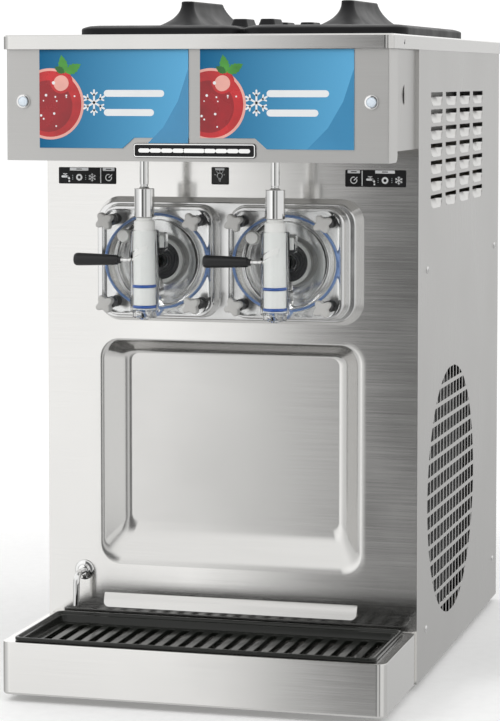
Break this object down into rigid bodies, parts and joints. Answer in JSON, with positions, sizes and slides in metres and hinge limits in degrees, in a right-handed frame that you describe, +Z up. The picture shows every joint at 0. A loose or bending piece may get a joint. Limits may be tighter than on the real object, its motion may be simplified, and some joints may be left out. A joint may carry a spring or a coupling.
{
  "type": "soft serve machine",
  "caption": "Countertop frozen drink dispenser with a stainless cabinet, clear barrel doors, turn handles, lidded hoppers above and a drip tray below.",
  "frame": {"origin": "centre of the bounding box's footprint, on the plane of the feet's undersides", "axes": "+Z up, -Y towards the person using it (the front), +X to the right seen from the front"},
  "size_m": [0.531, 0.8446, 0.943],
  "materials": {
    "brushed_stainless": "brushed, satin",
    "polished_steel": "polished",
    "galvanised_steel": "dull zinc",
    "satin_black_plastic": "satin, moulded",
    "gloss_black_plastic": "gloss, moulded",
    "pale_grey_plastic": "satin, moulded",
    "white_plastic": "satin, moulded",
    "clear_polycarbonate": "clear, polished",
    "blue_silicone": "soft",
    "black_rubber": "matt",
    "yellow_foam": "cut foam",
    "grey_enamel": "satin enamel",
    "black_enamel": "gloss enamel",
    "fin_aluminium": "mill",
    "sign_film": "printed film on acrylic",
    "dark_label": "printed film",
    "lamp_lens": "milky lens in a polished bezel"
  },
  "bodies": {
    "root": {"base_pan": "brushed_stainless", "chassis_frame": "galvanised_steel", "feet": "black_rubber", "front_panel": "brushed_stainless", "deflector_lip": "brushed_stainless", "side_panel_left": "brushed_stainless", "side_panel_right": "brushed_stainless", "rear_panel": "brushed_stainless", "top_cap": "brushed_stainless", "header_cover": "brushed_stainless", "header_cheeks": "brushed_stainless", "valve_bridge": "brushed_stainless", "sign_panels": "sign_film", "name_badge": "dark_label", "indicator_lamps": "lamp_lens", "control_overlays": "dark_label", "barrel_surround": "polished_steel", "freezing_barrels": "brushed_stainless", "barrel_insulation": "yellow_foam", "hoppers": "brushed_stainless", "barrel_doors": "clear_polycarbonate", "valve_tubes": "clear_polycarbonate", "door_gaskets": "blue_silicone", "door_studs": "polished_steel", "beater_motors": "grey_enamel", "compressor": "black_enamel", "condenser": "fin_aluminium", "drain_spout": "polished_steel", "power_gland": "satin_black_plastic", "panel_screws": "polished_steel"},
    "light_key": {"light_key": "gloss_black_plastic"},
    "lid_left": {"lid_left": "satin_black_plastic"},
    "lid_right": {"lid_right": "satin_black_plastic"},
    "drip_tray": {"drip_tray": "brushed_stainless"},
    "drip_grille": {"drip_grille": "gloss_black_plastic"},
    "star_knob_1": {"star_knob_1": "pale_grey_plastic"},
    "star_knob_2": {"star_knob_2": "pale_grey_plastic"},
    "star_knob_3": {"star_knob_3": "pale_grey_plastic"},
    "star_knob_4": {"star_knob_4": "pale_grey_plastic"},
    "star_knob_5": {"star_knob_5": "pale_grey_plastic"},
    "star_knob_6": {"star_knob_6": "pale_grey_plastic"},
    "star_knob_7": {"star_knob_7": "pale_grey_plastic"},
    "star_knob_8": {"star_knob_8": "pale_grey_plastic"},
    "prime_plug_left": {"prime_plug_left": "white_plastic"},
    "prime_plug_right": {"prime_plug_right": "white_plastic"},
    "valve_lift_left": {"valve_rod_left": "polished_steel"},
    "draw_valve_left": {"plunger_left": "white_plastic", "plunger_seals_left": "blue_silicone", "handle_pin_left": "polished_steel", "handle_grip_left": "satin_black_plastic"},
    "valve_lift_right": {"valve_rod_right": "polished_steel"},
    "draw_valve_right": {"plunger_right": "white_plastic", "plunger_seals_right": "blue_silicone", "handle_pin_right": "polished_steel", "handle_grip_right": "satin_black_plastic"},
    "beater_left": {"beater_left": "brushed_stainless", "scraper_left": "white_plastic"},
    "beater_right": {"beater_right": "brushed_stainless", "scraper_right": "white_plastic"},
    "condenser_fan": {"condenser_fan": "satin_black_plastic"}
  },
  "joints": [
    {"name": "light_key_press", "type": "slide", "parent": "root", "child": "light_key", "axis": [0, 1, 0], "range_m": [0, 0.0015], "stiffness_N_per_m": 800},
    {"name": "lid_left_lift", "type": "slide", "parent": "root", "child": "lid_left", "axis": [0, 0, 1], "range_m": [0, 0.15]},
    {"name": "lid_right_lift", "type": "slide", "parent": "root", "child": "lid_right", "axis": [0, 0, 1], "range_m": [0, 0.15]},
    {"name": "drip_tray_slide", "type": "slide", "parent": "root", "child": "drip_tray", "axis": [0, -1, 0], "range_m": [0, 0.15]},
    {"name": "drip_grille_lift", "type": "slide", "parent": "drip_tray", "child": "drip_grille", "axis": [0, 0, 1], "range_m": [0, 0.008]},
    {"name": "star_knob_1_turn", "type": "hinge", "parent": "root", "child": "star_knob_1", "pos_m": [-0.1515, -0.29425, 0.63925], "axis": [0, -1, 0], "continuous": true},
    {"name": "star_knob_2_turn", "type": "hinge", "parent": "root", "child": "star_knob_2", "pos_m": [-0.0295, -0.29425, 0.63925], "axis": [0, -1, 0], "continuous": true},
    {"name": "star_knob_3_turn", "type": "hinge", "parent": "root", "child": "star_knob_3", "pos_m": [-0.1515, -0.29425, 0.52675], "axis": [0, -1, 0], "continuous": true},
    {"name": "star_knob_4_turn", "type": "hinge", "parent": "root", "child": "star_knob_4", "pos_m": [-0.0295, -0.29425, 0.52675], "axis": [0, -1, 0], "continuous": true},
    {"name": "star_knob_5_turn", "type": "hinge", "parent": "root", "child": "star_knob_5", "pos_m": [0.0295, -0.29425, 0.63925], "axis": [0, -1, 0], "continuous": true},
    {"name": "star_knob_6_turn", "type": "hinge", "parent": "root", "child": "star_knob_6", "pos_m": [0.1515, -0.29425, 0.63925], "axis": [0, -1, 0], "continuous": true},
    {"name": "star_knob_7_turn", "type": "hinge", "parent": "root", "child": "star_knob_7", "pos_m": [0.0295, -0.29425, 0.52675], "axis": [0, -1, 0], "continuous": true},
    {"name": "star_knob_8_turn", "type": "hinge", "parent": "root", "child": "star_knob_8", "pos_m": [0.1515, -0.29425, 0.52675], "axis": [0, -1, 0], "continuous": true},
    {"name": "prime_plug_left_pull", "type": "slide", "parent": "root", "child": "prime_plug_left", "axis": [0, -1, 0], "range_m": [0, 0.012]},
    {"name": "prime_plug_right_pull", "type": "slide", "parent": "root", "child": "prime_plug_right", "axis": [0, -1, 0], "range_m": [0, 0.012]},
    {"name": "handle_left_turn", "type": "hinge", "parent": "valve_lift_left", "child": "draw_valve_left", "pos_m": [-0.0905, -0.32425, 0.588], "axis": [0, 0, 1], "range_deg": [0, 115]},
    {"name": "valve_left_lift", "type": "slide", "parent": "root", "child": "valve_lift_left", "axis": [0, 0, 1], "range_m": [0, 0.0181]},
    {"name": "handle_right_turn", "type": "hinge", "parent": "valve_lift_right", "child": "draw_valve_right", "pos_m": [0.0905, -0.32425, 0.588], "axis": [0, 0, 1], "range_deg": [0, 115]},
    {"name": "valve_right_lift", "type": "slide", "parent": "root", "child": "valve_lift_right", "axis": [0, 0, 1], "range_m": [0, 0.0181]},
    {"name": "beater_left_spin", "type": "hinge", "parent": "root", "child": "beater_left", "pos_m": [-0.0905, -0.12425, 0.583], "axis": [0, 1, 0], "continuous": true},
    {"name": "beater_right_spin", "type": "hinge", "parent": "root", "child": "beater_right", "pos_m": [0.0905, -0.12425, 0.583], "axis": [0, 1, 0], "continuous": true},
    {"name": "condenser_fan_spin", "type": "hinge", "parent": "root", "child": "condenser_fan", "pos_m": [0.17, 0.02375, 0.236], "axis": [1, 0, 0], "continuous": true}
  ],
  "couplings": [
    {"joint": "valve_left_lift", "follows": "handle_left_turn", "m_per_rad": 0.008968},
    {"joint": "valve_right_lift", "follows": "handle_right_turn", "m_per_rad": 0.008968}
  ]
}
